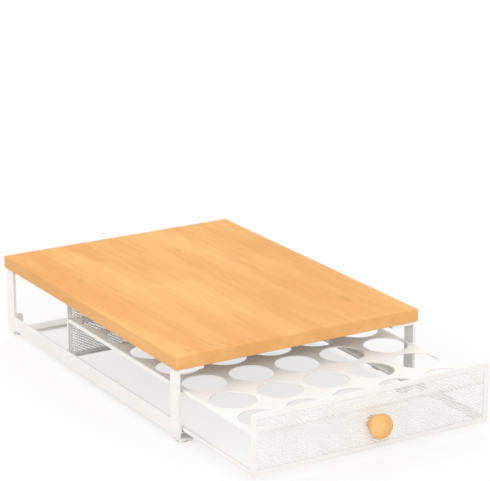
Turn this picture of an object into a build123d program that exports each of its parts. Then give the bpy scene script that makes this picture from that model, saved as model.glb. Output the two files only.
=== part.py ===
from build123d import *
import math
import os

# Stand with a sliding drawer for single-serve coffee pods: a wooden deck on a
# white steel frame, and a drawer of two mesh-filled panels, a holed shelf and
# two angle runners, which slides on ledges inside the frame.
# X runs across the width, Y from the drawer's front to the back, Z up.
# The origin is under the middle of the whole object, on the floor, with the
# drawer pulled out by REST_OPENING.

# ---------------------------------------------------------------- deck board
BOARD_THICKNESS = 14.0
BOARD_EDGE_RADIUS = 1.2
BOARD_REAR_SPACE = 15.0

# ------------------------------------------------------------ frame of strips
STRIP_WIDTH = 16.0
STRIP_THICKNESS = 3.0
BEND_RADIUS = 1.0
LEG_SIDE_INSET = 2.7
LEG_END_INSET = 1.0
TOP_TAB_LENGTH = 30.0
FOOT_TAB_LENGTH = 17.0
PAD_THICKNESS = 1.5
PAD_RADIUS = 6.5
PAD_EDGE = 1.0
CROSSBAR_WIDTH = 20.0
SIDE_RAIL_THICKNESS = 1.5
SIDE_RAIL_FLOOR_SPACE = 5.5
SIDE_RAIL_LIP = 1.3

# ------------------------------------------------- ledges, stops and runners
LEDGE_THICKNESS = 1.0
LEDGE_REACH = 7.6
LEDGE_UPSTAND = 10.0
STOP_THICKNESS = 1.5
STOP_WIDTH = 8.7
STOP_HEIGHT = 15.0
STOP_CORNER_RADIUS = 2.5
OUT_STOP_LENGTH = 12.0
OUT_STOP_REACH = 3.0
OUT_STOP_SETBACK = 50.0
HOOK_LENGTH = 10.0
HOOK_DROP = 4.0
HOOK_SETBACK = 11.5
RUNNER_HEIGHT = 6.0
RUNNER_FOOT = 8.0

# --------------------------------------------------------------------- drawer
POD_HOLE_RADIUS = 23.5
POD_PITCH = 55.0
POD_COLUMNS = 5
POD_ROWS = 7
END_MARGIN = 30.0
SIDE_MARGIN = 29.5
PANEL_HEIGHT = 63.0
FLOOR_SPACE = 12.0
PANEL_BAND = 5.5
PANEL_DEPTH = 2.5
PANEL_CORNER_RADIUS = 3.0
SHEET = 1.2
SHELF_FLANGE = 4.0
SHELF_EDGE_RADIUS = 1.6
SHELF_DROP = 18.0

# ----------------------------------------------------------------- mesh panel
MESH_THICKNESS = 1.0
MESH_COLUMNS = 15
MESH_ROWS = 5
MESH_STRAND = 1.6
MESH_MARGIN = 1.0

# ------------------------------------------------------------------ wood knob
KNOB_RADIUS = 13.0
KNOB_LENGTH = 20.0
KNOB_FOOT_RADIUS = 8.0
KNOB_NECK_RADIUS = 7.0
KNOB_NECK_LENGTH = 3.5
KNOB_ROUNDING = 6.0
KNOB_STEPS = 6
KNOB_DOME = 2.0
WASHER_RADIUS = 8.0
WASHER_GAP = 5.8
KNOB_SCREW_RADIUS = 2.0
KNOB_SCREW_DEPTH = 12.0
KNOB_SCREW_HEAD_RADIUS = 4.0
KNOB_SCREW_HEAD_HEIGHT = 2.6

# ---------------------------------------------------------------- wood screws
SCREW_SIDES = 12
SCREW_RADIUS = 1.75
SCREW_HEAD_RADIUS = 3.4
SCREW_HEAD_HEIGHT = 1.6
SCREW_LENGTH = 11.0
SCREW_SPACING = 13.0
SCREW_EDGE = 8.5

# ------------------------------------------------------- clearances and rest
SLIDE_GAP = 0.3
SIDE_GAP = 0.8
TOP_GAP = 0.5
STOP_GAP = 0.5
HOLE_CLEARANCE = 0.1
PANEL_PROUD = 5.5
REST_OPENING = 127.5

# ------------------------------------------------------------- derived places
DRAWER_WIDTH = (POD_COLUMNS - 1) * POD_PITCH + 2 * SIDE_MARGIN
DRAWER_DEPTH = (POD_ROWS - 1) * POD_PITCH + 2 * END_MARGIN
DRAWER_SIDE_X = DRAWER_WIDTH / 2
DRAWER_BOTTOM = FLOOR_SPACE
DRAWER_TOP = DRAWER_BOTTOM + PANEL_HEIGHT

LEG_INNER_X = DRAWER_SIDE_X + SIDE_GAP + LEDGE_THICKNESS
LEG_OUTER_X = LEG_INNER_X + STRIP_THICKNESS
BOARD_WIDTH = 2 * (LEG_OUTER_X + LEG_SIDE_INSET)
BOARD_DEPTH = DRAWER_DEPTH - PANEL_PROUD + STOP_GAP + BOARD_REAR_SPACE
BOARD_UNDERSIDE = DRAWER_TOP + TOP_GAP + STRIP_THICKNESS
DECK_HEIGHT = BOARD_UNDERSIDE + BOARD_THICKNESS
TOTAL_DEPTH = KNOB_LENGTH + REST_OPENING + PANEL_PROUD + BOARD_DEPTH
BOARD_REAR = TOTAL_DEPTH / 2
BOARD_FRONT = BOARD_REAR - BOARD_DEPTH

FRAME_FRONT = BOARD_FRONT + LEG_END_INSET
FRAME_REAR = BOARD_REAR - LEG_END_INSET
LEG_FRONT_Y = FRAME_FRONT + STRIP_WIDTH / 2
LEG_REAR_Y = FRAME_REAR - STRIP_WIDTH / 2
FOOT_TOP = PAD_THICKNESS + STRIP_THICKNESS

LEDGE_TOP = DRAWER_BOTTOM - SLIDE_GAP
LEDGE_BOTTOM = LEDGE_TOP - LEDGE_THICKNESS
LEDGE_TIP_X = LEG_INNER_X - LEDGE_REACH
LEDGE_BACK_TOP = LEDGE_BOTTOM + LEDGE_UPSTAND
RAIL_TOP = LEDGE_BACK_TOP + SIDE_RAIL_LIP

CLOSED_FRONT = BOARD_FRONT - PANEL_PROUD
DRAWER_FRONT = CLOSED_FRONT - REST_OPENING
DRAWER_REAR = DRAWER_FRONT + DRAWER_DEPTH
STOP_FACE_Y = CLOSED_FRONT + DRAWER_DEPTH + STOP_GAP
OUT_STOP_REAR_Y = BOARD_FRONT + OUT_STOP_SETBACK + OUT_STOP_LENGTH
HOOK_REAR_Y = DRAWER_REAR - PANEL_DEPTH - HOOK_SETBACK
HOOK_FRONT_Y = HOOK_REAR_Y - HOOK_LENGTH
MAX_PULL = HOOK_FRONT_Y - OUT_STOP_REAR_Y - STOP_GAP

MESH_FRONT_Y = DRAWER_FRONT + SHEET
MESH_BACK_Y = MESH_FRONT_Y + MESH_THICKNESS
SHELF_TOP = DRAWER_TOP - SHELF_DROP
PANEL_MID_Z = (DRAWER_TOP + DRAWER_BOTTOM) / 2
KNOB_Z = SHELF_TOP - SHELF_FLANGE - WASHER_GAP - WASHER_RADIUS


# -------------------------------------------------------------------- helpers
def block(low, high):
    """A box between two opposite corners."""
    size = [b - a for a, b in zip(low, high)]
    centre = [(a + b) / 2 for a, b in zip(low, high)]
    return Pos(*centre) * Box(*size)


def along_y(profile, y_start, y_end):
    """Extrudes an X-Z profile from one Y to another."""
    return Pos(0, y_start, 0) * extrude(profile, amount=y_end - y_start, dir=(0, 1, 0))


def rod(radius, x, y_start, y_end, z):
    """A round bar that runs along Y."""
    lying = Rot(90, 0, 0) * Cylinder(radius, abs(y_end - y_start))
    return Pos(x, (y_start + y_end) / 2, z) * lying


def faceted_rod(radius, y_start, y_end):
    """A many-sided bar along Y through the middle of the knob."""
    section = Rot(90, 0, 0) * RegularPolygon(radius, SCREW_SIDES)
    return along_y(Pos(0, 0, KNOB_Z) * section, y_start, y_end)


def xz_profile(points, radii):
    """A closed X-Z outline, with the named corners rounded: {index: radius}."""
    outline = Polyline([(x, 0, z) for x, z in points], close=True)
    face = make_face(outline)
    for index, radius in radii.items():
        x, z = points[index]
        corner = face.vertices().sort_by_distance((x, 0, z))[0]
        face = fillet(corner, radius)
    return face


def mirrored(part):
    """The same piece on the other side of the object."""
    return mirror(part, about=Plane.YZ)


# ----------------------------------------------------------------- deck board
def screw_places():
    """Centres of the wood screws under the board, two in each top tab."""
    first = LEG_OUTER_X - STRIP_THICKNESS - SCREW_EDGE
    for side in (-1, 1):
        for y in (LEG_FRONT_Y, LEG_REAR_Y):
            for step in (0, SCREW_SPACING):
                yield side * (first - step), y


def wood_screws(slack):
    """Countersunk screws, point up; slack makes them the holes they need."""
    wide = RegularPolygon(SCREW_HEAD_RADIUS + slack, SCREW_SIDES)
    narrow = RegularPolygon(SCREW_RADIUS + slack, SCREW_SIDES)
    screw = loft([wide, Pos(0, 0, SCREW_HEAD_HEIGHT) * narrow], ruled=True)
    screw += extrude(narrow, amount=SCREW_LENGTH + slack)
    seat = BOARD_UNDERSIDE - STRIP_THICKNESS
    return [Pos(x, y, seat) * screw for x, y in screw_places()]


def top_board():
    board = block(
        (-BOARD_WIDTH / 2, BOARD_FRONT, BOARD_UNDERSIDE),
        (BOARD_WIDTH / 2, BOARD_REAR, DECK_HEIGHT),
    )
    board = fillet(board.edges(), BOARD_EDGE_RADIUS)
    return board - wood_screws(HOLE_CLEARANCE)


# ------------------------------------------------------------- legs and rails
def left_leg(y_centre):
    """A flat strip bent in at the top, for the screws, and at the foot."""
    outer = -LEG_OUTER_X
    inner = -LEG_INNER_X
    top = BOARD_UNDERSIDE
    bottom = PAD_THICKNESS
    points = [
        (outer, bottom),
        (outer + FOOT_TAB_LENGTH, bottom),
        (outer + FOOT_TAB_LENGTH, bottom + STRIP_THICKNESS),
        (inner, bottom + STRIP_THICKNESS),
        (inner, top - STRIP_THICKNESS),
        (outer + TOP_TAB_LENGTH, top - STRIP_THICKNESS),
        (outer + TOP_TAB_LENGTH, top),
        (outer, top),
    ]
    outer_bend = BEND_RADIUS + STRIP_THICKNESS
    profile = xz_profile(points, {0: outer_bend, 3: BEND_RADIUS, 4: BEND_RADIUS, 7: outer_bend})
    leg = along_y(profile, y_centre - STRIP_WIDTH / 2, y_centre + STRIP_WIDTH / 2)
    return leg - wood_screws(HOLE_CLEARANCE)


def foot_pads():
    """A round pad under each foot tab."""
    pad = Cylinder(PAD_RADIUS, PAD_THICKNESS)
    x = LEG_OUTER_X - FOOT_TAB_LENGTH + PAD_RADIUS + PAD_EDGE
    pads = []
    for side in (-1, 1):
        for y in (LEG_FRONT_Y, LEG_REAR_Y):
            pads.append(Pos(side * x, y, PAD_THICKNESS / 2) * pad)
    return pads


def rear_crossbar():
    """A flat strip between the two rear feet, level with them."""
    end = LEG_OUTER_X - FOOT_TAB_LENGTH
    front = FRAME_REAR - CROSSBAR_WIDTH
    return block((-end, front, PAD_THICKNESS), (end, FRAME_REAR, FOOT_TOP))


def left_side_rail():
    """The tall strip from the front leg to the rear leg, level with their inside."""
    return block(
        (-LEG_INNER_X - SIDE_RAIL_THICKNESS, FRAME_FRONT + STRIP_WIDTH, SIDE_RAIL_FLOOR_SPACE),
        (-LEG_INNER_X, FRAME_REAR - STRIP_WIDTH, RAIL_TOP),
    )


def left_slide_ledge():
    """An angle whose ledge carries the drawer, with a tongue that stops it."""
    back = -LEG_INNER_X
    points = [
        (back, LEDGE_BOTTOM),
        (-LEDGE_TIP_X, LEDGE_BOTTOM),
        (-LEDGE_TIP_X, LEDGE_TOP),
        (back + LEDGE_THICKNESS, LEDGE_TOP),
        (back + LEDGE_THICKNESS, LEDGE_BACK_TOP),
        (back, LEDGE_BACK_TOP),
    ]
    ledge = along_y(xz_profile(points, {}), FRAME_FRONT, STOP_FACE_Y)
    tongue = block(
        (-LEDGE_TIP_X, OUT_STOP_REAR_Y - OUT_STOP_LENGTH, LEDGE_BOTTOM),
        (-LEDGE_TIP_X + OUT_STOP_REACH, OUT_STOP_REAR_Y, LEDGE_TOP),
    )
    return ledge + tongue


def left_rear_stop():
    """The upright tab at the back end of the ledge that the drawer shuts on."""
    tab = block(
        (-LEG_INNER_X, STOP_FACE_Y, LEDGE_BOTTOM),
        (-LEG_INNER_X + STOP_WIDTH, STOP_FACE_Y + STOP_THICKNESS, LEDGE_BOTTOM + STOP_HEIGHT),
    )
    inner_top = tab.edges().filter_by(Axis.Y).sort_by(Axis.Z)[-2:].sort_by(Axis.X)[-1]
    return fillet(inner_top, STOP_CORNER_RADIUS)


# -------------------------------------------------------------- drawer panels
def panel_outline(inset, corner_radius):
    """A rounded X-Z rectangle, drawn inside the panel's outer edge."""
    width = DRAWER_WIDTH - 2 * inset
    height = PANEL_HEIGHT - 2 * inset
    flat = RectangleRounded(width, height, corner_radius)
    return Pos(0, 0, PANEL_MID_Z) * Rot(90, 0, 0) * flat


def front_frame():
    """A rim with a flat face band and a return that runs back all round."""
    rim = along_y(panel_outline(0, PANEL_CORNER_RADIUS), DRAWER_FRONT, DRAWER_FRONT + PANEL_DEPTH)
    hollow = panel_outline(SHEET, PANEL_CORNER_RADIUS - SHEET)
    rim -= along_y(hollow, DRAWER_FRONT + SHEET, DRAWER_FRONT + PANEL_DEPTH)
    window = panel_outline(PANEL_BAND, PANEL_CORNER_RADIUS / 2)
    return rim - along_y(window, DRAWER_FRONT, DRAWER_FRONT + SHEET)


def turned_to_rear(part):
    """The front panel's piece as it stands at the drawer's back, facing back."""
    middle = Plane((0, DRAWER_FRONT + DRAWER_DEPTH / 2, 0), x_dir=(1, 0, 0), z_dir=(0, 1, 0))
    return mirror(part, about=middle)


def diamond(x, z, half_width, half_height):
    """One mesh gap, as a wire in the X-Z plane."""
    corners = [
        (x - half_width, 0, z),
        (x, 0, z - half_height),
        (x + half_width, 0, z),
        (x, 0, z + half_height),
    ]
    return Wire.make_polygon([Vector(*corner) for corner in corners])


def mesh_gaps(keep_clear):
    """Rows of diamonds, every other row shifted by half a pitch."""
    inner_width = DRAWER_WIDTH - 2 * (PANEL_BAND + MESH_MARGIN)
    inner_height = PANEL_HEIGHT - 2 * (PANEL_BAND + MESH_MARGIN)
    pitch_x = inner_width / MESH_COLUMNS
    pitch_z = inner_height / MESH_ROWS
    slant = math.hypot(pitch_x, pitch_z)
    half_width = pitch_x / 2 - MESH_STRAND * slant / (2 * pitch_z)
    half_height = pitch_z / 2 - MESH_STRAND * slant / (2 * pitch_x)
    for row in range(2 * MESH_ROWS - 1):
        shifted = row % 2
        z = PANEL_MID_Z - inner_height / 2 + (row + 1) * pitch_z / 2
        for column in range(MESH_COLUMNS - shifted):
            x = -inner_width / 2 + (column + 0.5 + shifted / 2) * pitch_x
            if math.hypot(x, z - KNOB_Z) > keep_clear:
                yield diamond(x, z, half_width, half_height)


def mesh_panel(screw_hole):
    """A flat sheet of diamond mesh that fills the rim behind its face band."""
    sheet = panel_outline(SHEET, PANEL_CORNER_RADIUS - SHEET).face()
    gaps = list(mesh_gaps(WASHER_RADIUS + MESH_STRAND if screw_hole else 0))
    holed = Face(sheet.outer_wire(), gaps)
    if holed.normal_at().Y < 0:
        holed = -holed
    mesh = Pos(0, MESH_FRONT_Y, 0) * Solid.extrude(holed, Vector(0, MESH_THICKNESS, 0))
    if screw_hole:
        mesh -= faceted_rod(KNOB_SCREW_RADIUS + HOLE_CLEARANCE, MESH_FRONT_Y, MESH_BACK_Y)
    return mesh


# ------------------------------------------------------------------ pod shelf
def pod_places():
    """Centres of the pod holes."""
    first_x = -(POD_COLUMNS - 1) / 2 * POD_PITCH
    for row in range(POD_ROWS):
        for column in range(POD_COLUMNS):
            yield first_x + column * POD_PITCH, DRAWER_FRONT + END_MARGIN + row * POD_PITCH


def pod_shelf():
    """A pressed sheet with turned-down edges and a round hole for each pod."""
    half_width = DRAWER_SIDE_X - SHEET
    rear = DRAWER_REAR - SHEET - MESH_THICKNESS
    tray = block(
        (-half_width, MESH_BACK_Y, SHELF_TOP - SHELF_FLANGE),
        (half_width, rear, SHELF_TOP),
    )
    tray = fillet(tray.faces().sort_by(Axis.Z)[-1].edges(), SHELF_EDGE_RADIUS)
    inside = block(
        (-half_width + SHEET, MESH_BACK_Y + SHEET, SHELF_TOP - SHELF_FLANGE),
        (half_width - SHEET, rear - SHEET, SHELF_TOP - SHEET),
    )
    shelf = tray - inside
    hole = Cylinder(POD_HOLE_RADIUS, 2 * SHELF_FLANGE)
    return shelf - [Pos(x, y, SHELF_TOP) * hole for x, y in pod_places()]


# -------------------------------------------------------------------- runners
def left_runner():
    """An angle along the drawer's bottom edge, with a hook that stops it."""
    outer = -DRAWER_SIDE_X
    front = DRAWER_FRONT + PANEL_DEPTH
    rear = DRAWER_REAR - PANEL_DEPTH
    points = [
        (outer, DRAWER_BOTTOM),
        (outer + RUNNER_FOOT, DRAWER_BOTTOM),
        (outer + RUNNER_FOOT, DRAWER_BOTTOM + SHEET),
        (outer + SHEET, DRAWER_BOTTOM + SHEET),
        (outer + SHEET, DRAWER_BOTTOM + RUNNER_HEIGHT),
        (outer, DRAWER_BOTTOM + RUNNER_HEIGHT),
    ]
    radii = {0: PANEL_CORNER_RADIUS, 3: PANEL_CORNER_RADIUS - SHEET}
    angle = along_y(xz_profile(points, radii), front, rear)
    hook = block(
        (outer + RUNNER_FOOT - SHEET, HOOK_FRONT_Y, DRAWER_BOTTOM - HOOK_DROP),
        (outer + RUNNER_FOOT, HOOK_REAR_Y, DRAWER_BOTTOM + SHEET),
    )
    return angle + hook


# ----------------------------------------------------------------------- knob
def knob():
    """A turned knob: a waisted foot under a round body with a domed face."""
    rim_x = KNOB_RADIUS - KNOB_ROUNDING
    face_y = KNOB_LENGTH - KNOB_DOME
    widest_y = face_y - KNOB_ROUNDING
    points = [(0, 0), (KNOB_FOOT_RADIUS, 0), (KNOB_NECK_RADIUS, KNOB_NECK_LENGTH)]
    for step in range(KNOB_STEPS + 1):
        angle = math.pi * (step / KNOB_STEPS - 0.5)
        out = KNOB_ROUNDING * math.cos(angle)
        points.append((rim_x + out, widest_y + KNOB_ROUNDING * math.sin(angle)))
    points.append((rim_x / 2, KNOB_LENGTH - KNOB_DOME / 4))
    points.append((0, KNOB_LENGTH))
    body = revolve(make_face(Polyline(points, close=True)), axis=Axis.Y)
    body = Pos(0, DRAWER_FRONT, KNOB_Z) * mirror(body, about=Plane.XZ)
    bottom = DRAWER_FRONT - KNOB_SCREW_DEPTH
    return body - faceted_rod(KNOB_SCREW_RADIUS + HOLE_CLEARANCE, bottom, DRAWER_FRONT)


def knob_washers():
    """One washer on each side of the mesh."""
    washers = []
    for y in (DRAWER_FRONT, MESH_BACK_Y):
        disc = rod(WASHER_RADIUS, 0, y, y + SHEET, KNOB_Z)
        washers.append(disc - faceted_rod(KNOB_SCREW_RADIUS + HOLE_CLEARANCE, y, y + SHEET))
    return washers


def knob_screw():
    """A pan-head screw from behind the mesh into the knob."""
    seat = MESH_BACK_Y + SHEET
    tip = DRAWER_FRONT - KNOB_SCREW_DEPTH + HOLE_CLEARANCE
    shank = faceted_rod(KNOB_SCREW_RADIUS, tip, seat)
    return shank + faceted_rod(KNOB_SCREW_HEAD_RADIUS, seat, seat + KNOB_SCREW_HEAD_HEIGHT)


# ---------------------------------------------------------------------- build
def build():
    front_leg = left_leg(LEG_FRONT_Y)
    rear_leg = left_leg(LEG_REAR_Y)
    rim = front_frame()
    return {
        "top_board": top_board(),
        "board_screws": wood_screws(0),
        "leg_front_left": front_leg,
        "leg_front_right": mirrored(front_leg),
        "leg_rear_left": rear_leg,
        "leg_rear_right": mirrored(rear_leg),
        "foot_pads": foot_pads(),
        "rear_crossbar": rear_crossbar(),
        "side_rail_left": left_side_rail(),
        "side_rail_right": mirrored(left_side_rail()),
        "slide_ledge_left": left_slide_ledge(),
        "slide_ledge_right": mirrored(left_slide_ledge()),
        "rear_stop_left": left_rear_stop(),
        "rear_stop_right": mirrored(left_rear_stop()),
        "drawer_front_frame": rim,
        "drawer_front_mesh": mesh_panel(screw_hole=True),
        "drawer_rear_frame": turned_to_rear(rim),
        "drawer_rear_mesh": turned_to_rear(mesh_panel(screw_hole=False)),
        "pod_shelf": pod_shelf(),
        "runner_left": left_runner(),
        "runner_right": mirrored(left_runner()),
        "knob": knob(),
        "knob_washers": knob_washers(),
        "knob_screw": knob_screw(),
    }


os.makedirs("parts", exist_ok=True)
for name, shape in build().items():
    if isinstance(shape, list):
        shape = Compound(children=shape)
    export_step(shape, f"parts/{name}.step")
print(f"drawer slides {-REST_OPENING:.1f} to {MAX_PULL:.1f} mm from where it rests")
print(f"board y {BOARD_FRONT:.1f} to {BOARD_REAR:.1f}, panel face y {DRAWER_FRONT:.1f}")
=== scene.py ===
import math

import bmesh
import bpy
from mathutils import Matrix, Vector


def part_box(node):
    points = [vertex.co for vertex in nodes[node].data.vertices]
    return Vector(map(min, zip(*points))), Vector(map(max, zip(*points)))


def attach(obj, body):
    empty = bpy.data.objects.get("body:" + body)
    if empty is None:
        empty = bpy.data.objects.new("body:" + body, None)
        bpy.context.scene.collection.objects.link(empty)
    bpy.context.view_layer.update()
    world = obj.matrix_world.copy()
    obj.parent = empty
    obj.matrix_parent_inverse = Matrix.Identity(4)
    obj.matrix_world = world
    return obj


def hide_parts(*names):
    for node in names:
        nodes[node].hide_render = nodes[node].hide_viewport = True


# Coffee pod drawer: a stand with a wooden deck and a white steel frame, and a sliding
# drawer with two diamond mesh panels and a turned wooden knob. Lengths are in metres.

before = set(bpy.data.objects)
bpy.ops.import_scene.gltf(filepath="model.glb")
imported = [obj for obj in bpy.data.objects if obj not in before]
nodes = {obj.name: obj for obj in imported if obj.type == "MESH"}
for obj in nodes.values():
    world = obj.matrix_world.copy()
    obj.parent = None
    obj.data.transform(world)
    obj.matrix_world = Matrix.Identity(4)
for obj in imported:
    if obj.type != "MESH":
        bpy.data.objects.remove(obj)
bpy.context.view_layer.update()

MM = 0.001

# ---------------------------------------------------------------- the camera
CAMERA_PLACE = Vector((-1.1157, -1.8606, 0.8128))
CAMERA_TARGET = Vector((0.0592, 0.0857, 0.1277))
SENSOR_WIDTH = 36.0
LENS = 157.0
CLIP_START = 0.05
CLIP_END = 100.0

# ----------------------------------------------------------- floor and lights
FLOOR_SIZE = 30.0
FLOOR_WHITENESS = 0.68
WORLD_LIGHT = 0.62
LAMP_TARGET = Vector((0, 0, 0.05))
# Name, place, width, power, and whether glossy surfaces mirror it.
LAMPS = (
    ("key", (-1.0, -2.5, 1.6), 1.8, 32.0, True),
    ("fill", (-2.3, 0.3, 1.3), 1.8, 17.0, True),
    ("top", (0.9, 0.9, 2.6), 2.4, 14.5, True),
    ("back", (1.9, 2.2, 1.2), 1.8, 16.0, False),
)

# -------------------------------------------------------------------- colours
WHITE = (1, 1, 1, 1)
COAT_WHITE = (0.945, 0.915, 0.885, 1)
COAT_SHADE = (0.905, 0.876, 0.846, 1)
COAT_SPECK = (0.82, 0.79, 0.755, 1)
RUBBER_DARK = (0.30, 0.30, 0.295, 1)
RUBBER_LIGHT = (0.40, 0.40, 0.39, 1)
ZINC_DARK = (0.76, 0.765, 0.77, 1)
ZINC_LIGHT = (0.88, 0.88, 0.875, 1)
FLOOR_DARK = (0.80, 0.797, 0.79, 1)
FLOOR_LIGHT = (0.82, 0.817, 0.81, 1)
FLOOR_SEEN = (0.97, 0.97, 0.97, 1)
# Light, middle and dark wood.
DECK_WOODS = ((0.950, 0.505, 0.155, 1), (0.860, 0.400, 0.105, 1), (0.660, 0.270, 0.055, 1))
KNOB_WOODS = ((0.970, 0.590, 0.240, 1), (0.930, 0.520, 0.185, 1), (0.720, 0.330, 0.085, 1))
PORE_BROWN = (0.42, 0.20, 0.065, 1)
KNOT_BROWN = (0.66, 0.290, 0.065, 1)
GLUE_BROWN = (0.50, 0.25, 0.08, 1)
SIDE_WOOD = (0.95, 0.60, 0.33, 1)
# Painted pale grey on the deck's underside, to tone down the warm light it bounces onto the
# parts below.
UNDERSIDE_BOUNCE_GREY = (0.66, 0.60, 0.53, 1)

# --------------------------------------------- how strongly each feature shows
LATE_SHARE = 0.20
STREAK_SHARE = 0.15
TONE_SHARE = 0.16
FIBRE_SHARE = 0.10
PORE_SHARE = 0.16
KNOT_SHARE = 0.55
SIDE_SHARE = 0.20
# How strongly the underside is painted pale grey against its warm bounce light.
UNDERSIDE_BOUNCE_SHARE = 0.85
SEAM_SHARE = 0.22
SEAM_SHARE_ON_ENDS = 0.10
SPECK_SHARE = 0.3

# --------------------------------------------------------------- growth rings
DECK_RING_GAP = 5.5 * MM
KNOB_RING_GAP = 2.4 * MM
HEART_SIDEWAYS = 25.0 * MM
HEART_DEPTHS = (-75.0 * MM, -45.0 * MM)
SWAY_SIDEWAYS = 15.0 * MM
SWAY_DEPTH = 20.0 * MM
LEAN = 0.08
LATE_SHARPNESS = 1.7
LATE_ON_ENDS = 0.4
KNOB_SEED = 3.0
KNOB_START = -0.3
SEED_STEP = 17.0

# --------------------------------------------------------------- deck staves
DECK_LOW, DECK_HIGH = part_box("top_board")
STAVE_COUNT = 7
STAVE_WIDTH = (DECK_HIGH.x - DECK_LOW.x) / STAVE_COUNT
PIECE_LENGTH = 0.46
BUTT_JOINTS = (0.161, -0.030, 0.095, 0.205, 0.010, -0.046, 0.140)
# Where a seam starts and is full, as shares of the strip that it edges.
GLUE_LINE = (0.008, 0.003)
BUTT_LINE = (0.0014, 0.0006)

# ----------------------------------------------------------- knots in the deck
# Place on the deck and size.
KNOTS = (
    (0.1005, -0.0535, 6.5 * MM),
    (-0.081, -0.116, 4.2 * MM),
    (-0.126, -0.110, 3.6 * MM),
    (-0.114, 0.148, 4.4 * MM),
    (0.034, 0.192, 3.4 * MM),
)
KNOT_SLIMNESS = 0.55
KNOT_RINGS = 2.4
# Where rings and core begin and are full, in sizes of the knot.
KNOT_RING_REACH = (4.0, 0.6)
KNOT_CORE_REACH = (1.3, 0.1)

# --------------------------------------------------------------------- relief
COAT_EDGE = 0.35 * MM
COAT_RELIEF = 0.05 * MM
WOOD_RELIEF = 0.10 * MM
RUBBER_RELIEF = 0.06 * MM
ZINC_RELIEF = 0.01 * MM

# ---------------------------------------------------------------- wooden knob
KNOB_FOOT_RADIUS = 7.9 * MM
KNOB_FOOT_EDGE = 0.5 * MM
KNOB_NECK_RADIUS = 8.1 * MM
KNOB_NECK_LENGTH = 2.6 * MM
KNOB_BEAD = 0.35 * MM
KNOB_BEAD_HEIGHT = 0.6 * KNOB_NECK_LENGTH
KNOB_ROUNDING = 6.0 * MM
KNOB_BACK_ANGLE = -35
KNOB_FACE_ANGLE = 82
KNOB_DOME = 2.0 * MM
KNOB_FACE_RISE = 0.97 * KNOB_DOME
KNOB_FACE_RINGS = 8
KNOB_SIDES = 72

# -------------------------------------------------------------- screws and pads
STRIP_THICKNESS = 3.0 * MM
SCREW_EDGE = 8.5 * MM
SCREW_SPACING = 13.0 * MM
SCREW_HEAD_RADIUS = 3.4 * MM
SCREW_HEAD_TAPER = 0.05 * MM
SCREW_HEAD_BREAK = 0.15 * MM
SCREW_SHANK_RADIUS = 1.75 * MM
SCREW_CONE = 1.6 * MM
SCREW_POINT = 2.0 * MM
SCREW_SIDES = 24
PAN_RADIUS = 4.0 * MM
PAN_HEIGHT = 2.6 * MM
PAN_EDGE_IN = 0.2 * MM
PAN_EDGE_UP = 0.3 * MM
PAN_ROUNDING = 1.6 * MM
PAN_FLAT_RADIUS = 2.1 * MM
PAN_SHANK_BREAK = 0.4 * MM
# The cross slot's width and length as shares of the head's radius.
CROSS_WIDTH = 0.34
CROSS_LENGTH = 1.15
CROSS_DEPTH = 0.9 * MM
CROSS_TAPER = 0.55
CROSS_TURN = math.radians(15)
CROSS_CORNERS = 12
PAD_RADIUS = 6.5 * MM
PAD_BREAK = 0.2 * MM
PAD_ROUNDING = 0.6 * MM
PAD_LIP = 1.0 * MM
PAD_DISH = 0.3 * MM
PAD_DISH_SLOPE = 0.4 * MM
PAD_SIDES = 40
SMOOTH_BELOW = math.radians(38)

# ---------------------------------------------------------- diamond mesh panel
DIAMOND_WIDTH = 5.65 * MM
DIAMOND_HEIGHT = 3.0 * MM
STRAND = 0.95 * MM
RIM_CLEARANCE = 0.55 * MM
GAP_CORNER_CUT = 0.24
# Each ring of a gap's wall: its spread over the strand, and its place through it.
GAP_WALL = ((0.45, 0.10), (0.0, 0.36), (0.0, 0.64), (0.45, 0.90))
CORNERS = ((1, 0), (0, 1), (-1, 0), (0, -1))

LEGS = ("leg_front_left", "leg_front_right", "leg_rear_left", "leg_rear_right")
WHITE_NODES = LEGS + (
    "rear_crossbar",
    "side_rail_left",
    "side_rail_right",
    "slide_ledge_left",
    "slide_ledge_right",
    "rear_stop_left",
    "rear_stop_right",
    "drawer_front_frame",
    "drawer_rear_frame",
    "pod_shelf",
    "runner_left",
    "runner_right",
)


# -------------------------------------------------------------- wiring of nodes
class Wiring:
    """Short calls that add nodes to a node tree and link them."""

    def __init__(self, tree):
        self.tree = tree

    def plug(self, socket, value):
        if isinstance(value, bpy.types.Node):
            value = value.outputs[0]
        if isinstance(value, bpy.types.NodeSocket):
            self.tree.links.new(value, socket)
        else:
            socket.default_value = value

    def add(self, kind, inputs=None, **settings):
        """A node, with its settings and what goes into its sockets."""
        made = self.tree.nodes.new(kind)
        for key, value in settings.items():
            setattr(made, key, value)
        for key, value in (inputs or {}).items():
            self.plug(made.inputs[key], value)
        return made

    def calc(self, operation, *values):
        inputs = dict(enumerate(values))
        return self.add("ShaderNodeMath", inputs, operation=operation).outputs[0]

    def total(self, first, *others):
        for other in others:
            first = self.calc("ADD", first, other)
        return first

    def spread(self, value, at_zero, at_one):
        """Takes 0 to 1 onto at_zero to at_one."""
        return self.calc("MULTIPLY_ADD", value, at_one - at_zero, at_zero)

    def ease(self, value, low, high, to_low=0.0, to_high=1.0):
        """Takes low to high onto to_low to to_high, smoothly, and holds outside."""
        inputs = dict(enumerate((value, low, high, to_low, to_high)))
        made = self.add("ShaderNodeMapRange", inputs, interpolation_type="SMOOTHSTEP")
        return made.outputs[0]


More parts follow.
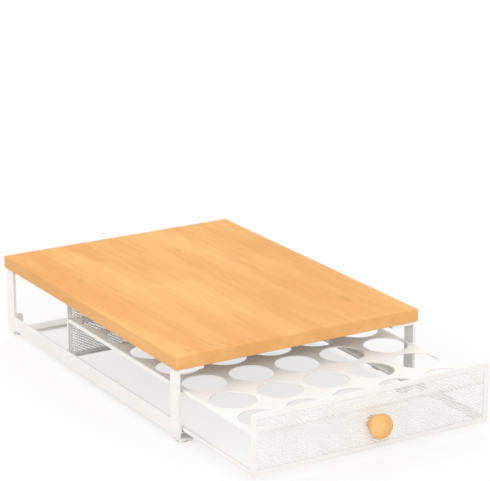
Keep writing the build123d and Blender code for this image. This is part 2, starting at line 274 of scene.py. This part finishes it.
class Shader(Wiring):
    """One material made of nodes."""

    def __init__(self, name):
        self.material = bpy.data.materials.new(name)
        self.material.use_nodes = True
        super().__init__(self.material.node_tree)
        self.surface = self.tree.nodes["Principled BSDF"]

    def place(self):
        return self.add("ShaderNodeTexCoord").outputs["Object"]

    def split(self, vector):
        made = self.add("ShaderNodeSeparateXYZ", {0: vector})
        return made.outputs[0], made.outputs[1], made.outputs[2]

    def join(self, x, y, z):
        return self.add("ShaderNodeCombineXYZ", {0: x, 1: y, 2: z}).outputs[0]

    def length(self, vector):
        made = self.add("ShaderNodeVectorMath", {0: vector}, operation="LENGTH")
        return made.outputs["Value"]

    def stretch(self, vector, x, y, z):
        inputs = {0: vector, 1: (x, y, z)}
        return self.add("ShaderNodeVectorMath", inputs, operation="MULTIPLY").outputs[0]

    def noise(self, vector, scale, detail, roughness=0.5):
        inputs = {
            "Vector": vector,
            "Scale": scale,
            "Detail": detail,
            "Roughness": roughness,
            "Distortion": 0.0,
        }
        return self.add("ShaderNodeTexNoise", inputs)

    def grain(self, vector, along, scale, detail, roughness=0.5):
        """Noise drawn out along Y, more so the smaller along is."""
        return self.noise(self.stretch(vector, 1.0, along, 1.0), scale, detail, roughness)

    def random(self, value):
        """Three steady random numbers for a whole number."""
        made = self.add("ShaderNodeTexWhiteNoise", noise_dimensions="1D")
        self.plug(made.inputs["W"], value)
        return self.split(made.outputs["Color"])

    def steps(self, share, values):
        """Each value in turn, as share goes from 0 to 1."""
        made = self.add("ShaderNodeValToRGB", {0: share})
        ramp = made.color_ramp
        ramp.interpolation = "CONSTANT"
        while len(ramp.elements) < len(values):
            ramp.elements.new(1.0)
        for index, value in enumerate(values):
            ramp.elements[index].position = index / len(values)
            ramp.elements[index].color = (0.5 + value,) * 3 + (1.0,)
        return self.calc("SUBTRACT", made.outputs[0], 0.5)

    def blend(self, share, first, second):
        """A colour that goes from the first to the second as share goes to 1."""
        made = self.add("ShaderNodeMix", data_type="RGBA")
        self.plug(made.inputs[0], share)
        self.plug(made.inputs[6], first)
        self.plug(made.inputs[7], second)
        return made.outputs[2]

    def finish(self, colour, roughness, height, depth, strength, normal=None, **constants):
        """Colour, roughness and a bump of the given depth, and the fixed values."""
        inputs = {"Height": height, "Distance": depth, "Strength": strength}
        bump = self.add("ShaderNodeBump", inputs)
        if normal is not None:
            self.plug(bump.inputs["Normal"], normal)
        self.plug(self.surface.inputs["Base Color"], colour)
        self.plug(self.surface.inputs["Roughness"], roughness)
        self.plug(self.surface.inputs["Normal"], bump)
        for key, value in constants.items():
            self.surface.inputs[key.replace("_", " ")].default_value = value
        return self.material


# ------------------------------------------------------------------ materials
def white_steel():
    """Powder-coated steel: orange peel, soft edges and slight unevenness in the white."""
    s = Shader("white_powder_coat")
    place = s.place()
    cloud = s.noise(place, 22.0, 3.0, 0.6)
    peel = s.noise(place, 1300.0, 1.0, 0.4)
    speck = s.noise(place, 3200.0, 0.0)
    white = s.blend(s.ease(cloud, 0.3, 0.75), COAT_WHITE, COAT_SHADE)
    tint = s.blend(s.ease(speck, 0.68, 0.8, 0.0, SPECK_SHARE), white, COAT_SPECK)
    edge = s.add("ShaderNodeBevel", {"Radius": COAT_EDGE}, samples=4)
    return s.finish(
        tint, s.spread(peel, 0.30, 0.48), peel, COAT_RELIEF, 0.6, edge, Specular_IOR_Level=0.45
    )


def deck_staves(s, x, y):
    """The stave's number, the place across it, and the place along its pieces."""
    across = s.calc("DIVIDE", s.calc("SUBTRACT", x, DECK_LOW.x), STAVE_WIDTH)
    inside = s.calc("SUBTRACT", s.calc("FRACT", across), 0.5)
    start = s.steps(s.calc("DIVIDE", across, STAVE_COUNT), BUTT_JOINTS)
    along = s.calc("DIVIDE", s.calc("SUBTRACT", y, start), PIECE_LENGTH)
    return s.calc("FLOOR", across), inside, along


def deck_knots(s, x, y, turns):
    """The growth rings with those round each knot, and how dark its core is."""
    core = 0.0
    for knot_x, knot_y, size in KNOTS:
        off_x = s.calc("SUBTRACT", x, knot_x)
        off_y = s.calc("MULTIPLY_ADD", y, KNOT_SLIMNESS, -KNOT_SLIMNESS * knot_y)
        away = s.length(s.join(off_x, off_y, 0.0))
        far, near = (reach * size for reach in KNOT_RING_REACH)
        turns = s.calc("ADD", turns, s.ease(away, far, near, 0.0, KNOT_RINGS))
        far, near = (reach * size for reach in KNOT_CORE_REACH)
        core = s.calc("MAXIMUM", core, s.ease(away, far, near))
    return turns, core


def growth_rings(s, place, ring_x, stave, lean, ring_gap):
    """How many growth rings lie between a point and the heart of its tree."""
    _, y, z = s.split(place)
    sideways, depth, _ = s.random(stave)
    sway_x, _, sway_z = s.split(s.grain(place, 0.16, 26.0, 2.0).outputs["Color"])
    ring_x = s.total(
        ring_x,
        s.spread(sideways, -HEART_SIDEWAYS, HEART_SIDEWAYS),
        s.spread(sway_x, -SWAY_SIDEWAYS, SWAY_SIDEWAYS),
    )
    ring_z = s.total(
        z,
        s.spread(depth, *HEART_DEPTHS),
        s.spread(sway_z, -SWAY_DEPTH, SWAY_DEPTH),
        s.calc("MULTIPLY", y, s.spread(lean, -LEAN, LEAN)),
    )
    return s.calc("DIVIDE", s.length(s.join(ring_x, 0.0, ring_z)), ring_gap)


def edge_line(s, inside, line):
    """1 along both edges of a strip that goes from -0.5 to 0.5, and 0 between."""
    return s.ease(s.calc("ABSOLUTE", inside), 0.5 - line[0], 0.5 - line[1])


def wood(name, woods, ring_gap, deck=False):
    """Solid timber with its grain along Y: bands, growth rings, fibres and pores.

    The deck also gets staves, knots, paler sides and an underside painted pale grey, a painted
    colour that tones down the warm light the underside bounces.
    """
    light, mid, dark = woods
    s = Shader(name)
    texture = s.add("ShaderNodeTexCoord")
    place = texture.outputs["Object"]
    x, y, _ = s.split(place)
    _, facing, upward = s.split(texture.outputs["Normal"])
    end_face = s.ease(s.calc("ABSOLUTE", facing), 0.6, 0.9)
    if deck:
        stave, inside, along = deck_staves(s, x, y)
        ring_x = s.calc("MULTIPLY", inside, STAVE_WIDTH)
    else:
        stave, ring_x = KNOB_SEED, x
        along = s.calc("DIVIDE", s.calc("SUBTRACT", y, KNOB_START), PIECE_LENGTH)
    piece = s.calc("MULTIPLY_ADD", s.calc("FLOOR", along), SEED_STEP, stave)
    tone, lean, _ = s.random(piece)
    turns = growth_rings(s, place, ring_x, stave, lean, ring_gap)
    if deck:
        turns, core = deck_knots(s, x, y, turns)
    patch = s.grain(place, 0.2, 35.0, 2.0)
    late = s.calc("POWER", s.calc("FRACT", turns), LATE_SHARPNESS)
    late = s.calc("MULTIPLY", late, s.ease(patch, 0.35, 0.7, 0.3, 1.0))
    late = s.calc("MULTIPLY", late, s.spread(end_face, 1.0, LATE_ON_ENDS))

    band = s.grain(place, 0.14, 30.0, 3.0, 0.55)
    fibre = s.grain(place, 0.022, 900.0, 3.0, 0.65)
    streak = s.grain(place, 0.035, 150.0, 2.0, 0.6)
    pore = s.ease(s.grain(place, 0.05, 1900.0, 0.0), 0.66, 0.74)

    colour = s.blend(s.ease(band, 0.38, 0.64), light, mid)
    for share, shade in (
        (s.calc("MULTIPLY", late, LATE_SHARE), dark),
        (s.ease(streak, 0.42, 0.80, 0.0, STREAK_SHARE), dark),
        (s.calc("MULTIPLY", tone, TONE_SHARE), dark),
        (s.ease(fibre, 0.5, 0.78, 0.0, FIBRE_SHARE), dark),
        (s.calc("MULTIPLY", pore, PORE_SHARE), PORE_BROWN),
    ):
        colour = s.blend(share, colour, shade)
    height = s.calc("MULTIPLY_ADD", fibre, 0.5, s.calc("MULTIPLY", late, 0.25))
    height = s.calc("SUBTRACT", height, s.calc("MULTIPLY", pore, 0.6))
    if deck:
        butt = s.calc("SUBTRACT", s.calc("FRACT", along), 0.5)
        seam = s.calc(
            "MAXIMUM", edge_line(s, inside, GLUE_LINE), edge_line(s, butt, BUTT_LINE)
        )
        seam_share = s.spread(end_face, SEAM_SHARE, SEAM_SHARE_ON_ENDS)
        for share, shade in (
            (s.calc("MULTIPLY", core, KNOT_SHARE), KNOT_BROWN),
            (s.ease(s.calc("ABSOLUTE", upward), 0.6, 0.3, 0.0, SIDE_SHARE), SIDE_WOOD),
            # the underside painted pale grey, to tone down the warm light it bounces
            (s.ease(upward, -0.5, -0.9, 0.0, UNDERSIDE_BOUNCE_SHARE), UNDERSIDE_BOUNCE_GREY),
            (s.calc("MULTIPLY", seam, seam_share), GLUE_BROWN),
        ):
            colour = s.blend(share, colour, shade)
        height = s.calc("SUBTRACT", height, s.calc("MULTIPLY", seam, 0.4))
    roughness = s.calc("MULTIPLY_ADD", fibre, 0.22, s.spread(late, 0.40, 0.48))
    return s.finish(colour, roughness, height, WOOD_RELIEF, 0.6, Specular_IOR_Level=0.28)


def rubber():
    """Matt grey rubber with a fine tooth."""
    s = Shader("pad_rubber")
    place = s.place()
    grain = s.noise(place, 2600.0, 2.0, 0.6)
    colour = s.blend(s.noise(place, 160.0, 2.0), RUBBER_DARK, RUBBER_LIGHT)
    roughness = s.spread(grain, 0.62, 0.82)
    return s.finish(colour, roughness, grain, RUBBER_RELIEF, 0.6, Specular_IOR_Level=0.3)


def zinc():
    """Bright zinc plate, with the fine turning marks of a screw."""
    s = Shader("zinc_plate")
    place = s.place()
    cloud = s.noise(place, 420.0, 3.0, 0.6)
    scratch = s.noise(s.stretch(place, 1.0, 1.0, 0.1), 4200.0, 1.0)
    colour = s.blend(cloud, ZINC_DARK, ZINC_LIGHT)
    return s.finish(colour, s.spread(cloud, 0.32, 0.52), scratch, ZINC_RELIEF, 0.5, Metallic=1.0)


def floor_white():
    """A plain pale floor, which the camera sees white with its shadows softened."""
    s = Shader("pale_floor")
    seen = s.add("ShaderNodeLightPath").outputs["Is Camera Ray"]
    colour = s.blend(s.noise(s.place(), 1.5, 2.0), FLOOR_DARK, FLOOR_LIGHT)
    s.plug(s.surface.inputs["Base Color"], s.blend(seen, colour, FLOOR_SEEN))
    s.surface.inputs["Roughness"].default_value = 0.9
    s.surface.inputs["Specular IOR Level"].default_value = 0.0
    bright = s.add("ShaderNodeEmission", {"Color": WHITE, "Strength": 1.0})
    share = s.calc("MULTIPLY", seen, FLOOR_WHITENESS)
    mix = s.add("ShaderNodeMixShader", {0: share, 1: s.surface, 2: bright})
    s.plug(s.tree.nodes["Material Output"].inputs["Surface"], mix)
    return s.material


def dress(piece, material):
    piece.data.materials.clear()
    piece.data.materials.append(material)


# --------------------------------------------------------- diamond mesh panels
def gap_outline():
    """A diamond's eight points, with each corner cut, for a half width of 1."""
    for index, (x, z) in enumerate(CORNERS):
        for other_x, other_z in (CORNERS[index - 1], CORNERS[(index + 1) % 4]):
            yield x + GAP_CORNER_CUT * (other_x - x), z + GAP_CORNER_CUT * (other_z - z)


def diamond_panel(name, node, material):
    """Expanded mesh: rounded strands round rows of flat diamonds."""
    low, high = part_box(node)
    wide = high.x - low.x - 2 * RIM_CLEARANCE
    tall = high.z - low.z - 2 * RIM_CLEARANCE
    columns = 2 * round(wide / DIAMOND_WIDTH)
    rows = 2 * round(tall / DIAMOND_HEIGHT)
    step_x = wide / columns
    step_z = tall / rows
    start_x = (low.x + high.x - wide) / 2
    start_z = (low.z + high.z - tall) / 2
    slant = math.hypot(step_x, step_z)
    half_x = step_x - STRAND * slant / (2 * step_z)
    half_z = step_z - STRAND * slant / (2 * step_x)
    thick = high.y - low.y
    outline = list(gap_outline())
    count = len(outline)
    points = []
    faces = []
    crossings = {}

    def crossing(i, j, side):
        """The point where strands cross, on the front (0) or the back (1)."""
        key = (i, j, side)
        if key not in crossings:
            crossings[key] = len(points)
            y = low.y if side == 0 else high.y
            points.append((start_x + i * step_x, y, start_z + j * step_z))
        return crossings[key]

    def gap(i, j):
        """The wall of one gap, and the strands' faces as far as the crossings."""
        x = start_x + i * step_x
        z = start_z + j * step_z
        first = len(points)
        for spread, level in GAP_WALL:
            grow_x = half_x + spread * (step_x - half_x)
            grow_z = half_z + spread * (step_z - half_z)
            for ox, oz in outline:
                points.append((x + ox * grow_x, low.y + level * thick, z + oz * grow_z))
        last = first + count * (len(GAP_WALL) - 1)
        for side, ring in ((0, first), (1, last)):
            around = [crossing(i + cx, j + cz, side) for cx, cz in CORNERS]
            for k in range(4):
                a, b = ring + 2 * k, ring + 2 * k + 1
                c = ring + (2 * k + 2) % count
                corner = (around[k], b, a)
                edge = (around[k], around[(k + 1) % 4], c, b)
                faces.append(corner if side == 0 else corner[::-1])
                faces.append(edge if side == 0 else edge[::-1])
        for top in range(first, last, count):
            for k in range(count):
                n = (k + 1) % count
                faces.append((top + k, top + n, top + count + n, top + count + k))

    def sheet(a, b, c, outer):
        """A triangle on both sides of the sheet, and the wall on each outer edge."""
        for side in (0, 1):
            trio = tuple(crossing(*p, side) for p in (a, b, c))
            faces.append(trio if side else trio[::-1])
        for p, q in outer:
            faces.append((crossing(*p, 0), crossing(*q, 0), crossing(*q, 1), crossing(*p, 1)))

    for i in range(1, columns):
        for j in range(1, rows):
            if (i + j) % 2 == 0:
                gap(i, j)
    for i in range(2, columns, 2):
        for a, b, inner in (
            ((i + 1, 0), (i - 1, 0), (i, 1)),
            ((i - 1, rows), (i + 1, rows), (i, rows - 1)),
        ):
            sheet(a, b, inner, ((a, b),))
    for j in range(2, rows, 2):
        for a, b, inner in (
            ((0, j - 1), (0, j + 1), (1, j)),
            ((columns, j + 1), (columns, j - 1), (columns - 1, j)),
        ):
            sheet(a, b, inner, ((a, b),))
    for cx, sx in ((0, 1), (columns, -1)):
        for cz, sz in ((0, 1), (rows, -1)):
            a, corner, b = (cx, cz + sz), (cx, cz), (cx + sx, cz)
            if sx * sz < 0:
                a, b = b, a
            sheet(a, corner, b, ((a, corner), (corner, b)))

    mesh = bpy.data.meshes.new(name)
    mesh.from_pydata(points, [], faces)
    mesh.validate()
    mesh.update()
    mesh.shade_smooth()
    piece = bpy.data.objects.new(name, mesh)
    bpy.context.scene.collection.objects.link(piece)
    dress(piece, material)
    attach(piece, "drawer")
    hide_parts(node)
    return piece


# --------------------------------------------------- turned pieces and screws
class Turning:
    """A mesh of turned forms, each about its own axis."""

    def __init__(self):
        self.points = []
        self.faces = []

    def point(self, place):
        self.points.append(place)
        return len(self.points) - 1

    def turn(self, centre, along, profile, sides, slotted=False):
        """Turns (radius, height) pairs, and may cut a cross slot into the last ring."""
        centre, along = Vector(centre), Vector(along).normalized()
        u = along.orthogonal().normalized()
        v = along.cross(u)
        rings = []
        for radius, height in profile:
            ring = []
            for k in range(sides if radius > 0 else 1):
                angle = 2 * math.pi * k / sides
                out = radius * (math.cos(angle) * u + math.sin(angle) * v)
                ring.append(self.point(centre + height * along + out))
            rings.append(ring)
        for low, high in zip(rings, rings[1:]):
            for k in range(sides):
                n = (k + 1) % sides
                if len(low) == 1:
                    self.faces.append((low[0], high[n], high[k]))
                elif len(high) == 1:
                    self.faces.append((low[k], low[n], high[0]))
                else:
                    self.faces.append((low[k], low[n], high[n], high[k]))
        if slotted:
            radius, height = profile[-1]
            self.cross(rings[-1], centre + height * along, along, u, v, radius)

    def cross(self, ring, middle, along, u, v, radius):
        """The cross slot in a head: the face round it, its walls and its floor."""
        wide = radius * CROSS_WIDTH / 2
        long = radius * CROSS_LENGTH / 2
        cos, sin = math.cos(CROSS_TURN), math.sin(CROSS_TURN)
        mouth, floor = [], []
        for k in range(4):
            for a, b in ((long, -wide), (long, wide), (wide, wide)):
                for _ in range(k):
                    a, b = -b, a
                out = (a * cos - b * sin) * u + (a * sin + b * cos) * v
                mouth.append(self.point(middle + out))
                floor.append(self.point(middle - CROSS_DEPTH * along + CROSS_TAPER * out))
        step = len(ring) // CROSS_CORNERS
        for k in range(CROSS_CORNERS):
            n = (k + 1) % CROSS_CORNERS
            span = [ring[(step * k + i) % len(ring)] for i in range(step + 1)]
            self.faces.append(tuple(span) + (mouth[n], mouth[k]))
            self.faces.append((mouth[k], mouth[n], floor[n], floor[k]))
        self.faces.append(tuple(floor))

    def piece(self, name, body, node, slot, material):
        mesh = bpy.data.meshes.new(name)
        mesh.from_pydata([tuple(p) for p in self.points], [], self.faces)
        mesh.validate()
        work = bmesh.new()
        work.from_mesh(mesh)
        bmesh.ops.recalc_face_normals(work, faces=work.faces)
        for edge in work.edges:
            edge.smooth = len(edge.link_faces) == 2 and edge.calc_face_angle() < SMOOTH_BELOW
        for face in work.faces:
            face.smooth = True
        work.to_mesh(mesh)
        work.free()
        made = bpy.data.objects.new(name, mesh)
        bpy.context.scene.collection.objects.link(made)
        dress(made, material)
        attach(made, body)
        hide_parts(node)
        return made


def arc(centre_x, centre_y, radius, first, last, steps):
    """Points of a profile's round stretch, from one angle to another in degrees."""
    for k in range(steps + 1):
        angle = math.radians(first + (last - first) * k / steps)
        yield centre_x + radius * math.cos(angle), centre_y + radius * math.sin(angle)


def turned_knob(material):
    """A short foot, a back that tapers out to the round body and a softly domed face."""
    low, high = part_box("knob")
    radius = (high.z - low.z) / 2
    length = high.y - low.y
    rim = radius - KNOB_ROUNDING
    shoulder = length - KNOB_DOME - KNOB_ROUNDING
    foot = KNOB_FOOT_RADIUS - KNOB_FOOT_EDGE
    profile = [(0.0, 0.0), (foot + 0.2 * KNOB_FOOT_EDGE, 0.0)]
    profile += arc(foot, KNOB_FOOT_EDGE, KNOB_FOOT_EDGE, -80, 0, 4)
    profile.append((KNOB_NECK_RADIUS + KNOB_BEAD, KNOB_BEAD_HEIGHT))
    profile.append((KNOB_NECK_RADIUS, KNOB_NECK_LENGTH))
    profile += arc(rim, shoulder, KNOB_ROUNDING, KNOB_BACK_ANGLE, KNOB_FACE_ANGLE, 18)
    for k in range(1, KNOB_FACE_RINGS + 1):
        share = 1 - k / KNOB_FACE_RINGS
        profile.append((rim * share, length - KNOB_FACE_RISE * share ** 2))
    middle = ((low.x + high.x) / 2, high.y, (low.z + high.z) / 2)
    form = Turning()
    form.turn(middle, (0, -1, 0), profile, KNOB_SIDES)
    return form.piece("turned_knob", "drawer", "knob", "knob_wood", material)


def leg_places():
    """Each leg's side, how far its outer face is from the middle, and its Y."""
    for leg in LEGS:
        low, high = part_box(leg)
        side = 1 if low.x > 0 else -1
        yield side, max(high.x, -low.x), (low.y + high.y) / 2


def deck_screws(material):
    """Countersunk screws with a cross slot, two in the top tab of each leg."""
    low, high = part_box("board_screws")
    length = high.z - low.z
    profile = (
        (0.0, -length),
        (SCREW_SHANK_RADIUS, SCREW_POINT - length),
        (SCREW_SHANK_RADIUS, -SCREW_CONE),
        (SCREW_HEAD_RADIUS - SCREW_HEAD_TAPER, -SCREW_HEAD_BREAK),
        (SCREW_HEAD_RADIUS - SCREW_HEAD_BREAK, 0.0),
    )
    form = Turning()
    for side, outer, y in leg_places():
        first = outer - STRIP_THICKNESS - SCREW_EDGE
        for step in (0.0, SCREW_SPACING):
            head = (side * (first - step), y, low.z)
            form.turn(head, (0, 0, -1), profile, SCREW_SIDES, slotted=True)
    return form.piece("deck_screws", "stand", "board_screws", "screw_steel", material)


def knob_fastener(material):
    """The knob's screw: a shank through the mesh under a domed pan head."""
    low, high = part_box("knob_screw")
    length = high.y - low.y
    seat = length - PAN_HEIGHT
    dome = PAN_RADIUS - PAN_ROUNDING
    profile = [(0.0, 0.0), (SCREW_SHANK_RADIUS, PAN_SHANK_BREAK), (SCREW_SHANK_RADIUS, seat)]
    profile += [(PAN_RADIUS - PAN_EDGE_IN, seat), (PAN_RADIUS, seat + PAN_EDGE_UP)]
    profile += arc(dome, length - PAN_ROUNDING, PAN_ROUNDING, 15, 75, 5)
    profile.append((PAN_FLAT_RADIUS, length))
    start = ((low.x + high.x) / 2, low.y, (low.z + high.z) / 2)
    form = Turning()
    form.turn(start, (0, 1, 0), profile, SCREW_SIDES, slotted=True)
    return form.piece("knob_fastener", "drawer", "knob_screw", "screw_steel", material)


def rubber_feet(material):
    """Moulded pads with a rounded rim and a shallow dish underneath."""
    low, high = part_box("foot_pads")
    thick = high.z - low.z
    inner = PAD_RADIUS - PAD_ROUNDING
    profile = [(0.0, 0.0), (PAD_RADIUS - PAD_BREAK, 0.0), (PAD_RADIUS, PAD_BREAK)]
    profile += arc(inner, thick - PAD_ROUNDING, PAD_ROUNDING, 0, 90, 5)
    profile.append((inner - PAD_LIP, thick))
    profile.append((inner - PAD_LIP - PAD_DISH_SLOPE, thick - PAD_DISH))
    profile.append((0.0, thick - PAD_DISH))
    form = Turning()
    for side, _, y in leg_places():
        top = (side * (high.x - PAD_RADIUS), y, high.z)
        form.turn(top, (0, 0, -1), profile, PAD_SIDES)
    return form.piece("rubber_feet", "stand", "foot_pads", "pad_rubber", material)


# ----------------------------------------------------------- floor and lights
def stage_and_light():
    bpy.ops.mesh.primitive_plane_add(size=FLOOR_SIZE, location=(0, 0, 0))
    floor = bpy.context.object
    floor.name = "floor"
    dress(floor, floor_white())

    for name, place, width, power, mirrored in LAMPS:
        data = bpy.data.lights.new(name, "AREA")
        data.shape = "DISK"
        data.size = width
        data.energy = power
        lamp = bpy.data.objects.new(name, data)
        lamp.location = place
        lamp.visible_glossy = mirrored
        lamp.rotation_mode = "QUATERNION"
        lamp.rotation_quaternion = (LAMP_TARGET - lamp.location).to_track_quat("-Z", "Y")
        bpy.context.scene.collection.objects.link(lamp)


def studio_world():
    """An even soft light, which the camera, metal and glass see as plain white."""
    world = bpy.data.worlds.new("studio")
    bpy.context.scene.world = world
    world.use_nodes = True
    w = Wiring(world.node_tree)
    w.tree.nodes.clear()
    rays = w.add("ShaderNodeLightPath").outputs
    mirrored = w.calc("MAXIMUM", rays["Is Glossy Ray"], rays["Is Transmission Ray"])
    seen = w.calc("MAXIMUM", rays["Is Camera Ray"], mirrored)
    soft = w.add("ShaderNodeBackground", {"Color": WHITE, "Strength": WORLD_LIGHT})
    plain = w.add("ShaderNodeBackground", {"Color": WHITE, "Strength": 1.0})
    mix = w.add("ShaderNodeMixShader", {0: seen, 1: soft, 2: plain})
    w.add("ShaderNodeOutputWorld", {"Surface": mix})


def photo_camera():
    data = bpy.data.cameras.new("photo_camera")
    data.sensor_fit = "HORIZONTAL"
    data.sensor_width = SENSOR_WIDTH
    data.lens = LENS
    data.clip_start = CLIP_START
    data.clip_end = CLIP_END
    camera = bpy.data.objects.new("photo_camera", data)
    bpy.context.scene.collection.objects.link(camera)
    camera.location = CAMERA_PLACE
    camera.rotation_mode = "QUATERNION"
    camera.rotation_quaternion = (CAMERA_TARGET - CAMERA_PLACE).to_track_quat("-Z", "Y")
    bpy.context.scene.camera = camera


# --------------------------------------------------------------------- making
photo_camera()
stage_and_light()
studio_world()

coat = white_steel()
for name in WHITE_NODES:
    dress(nodes[name], coat)
dress(nodes["top_board"], wood("deck_timber", DECK_WOODS, DECK_RING_GAP, deck=True))
turned_knob(wood("knob_timber", KNOB_WOODS, KNOB_RING_GAP))
rubber_feet(rubber())
steel = zinc()
dress(nodes["knob_washers"], steel)
deck_screws(steel)
knob_fastener(steel)
diamond_panel("front_diamond_mesh", "drawer_front_mesh", coat)
diamond_panel("rear_diamond_mesh", "drawer_rear_mesh", coat)

bpy.context.scene.view_settings.view_transform = "Standard"
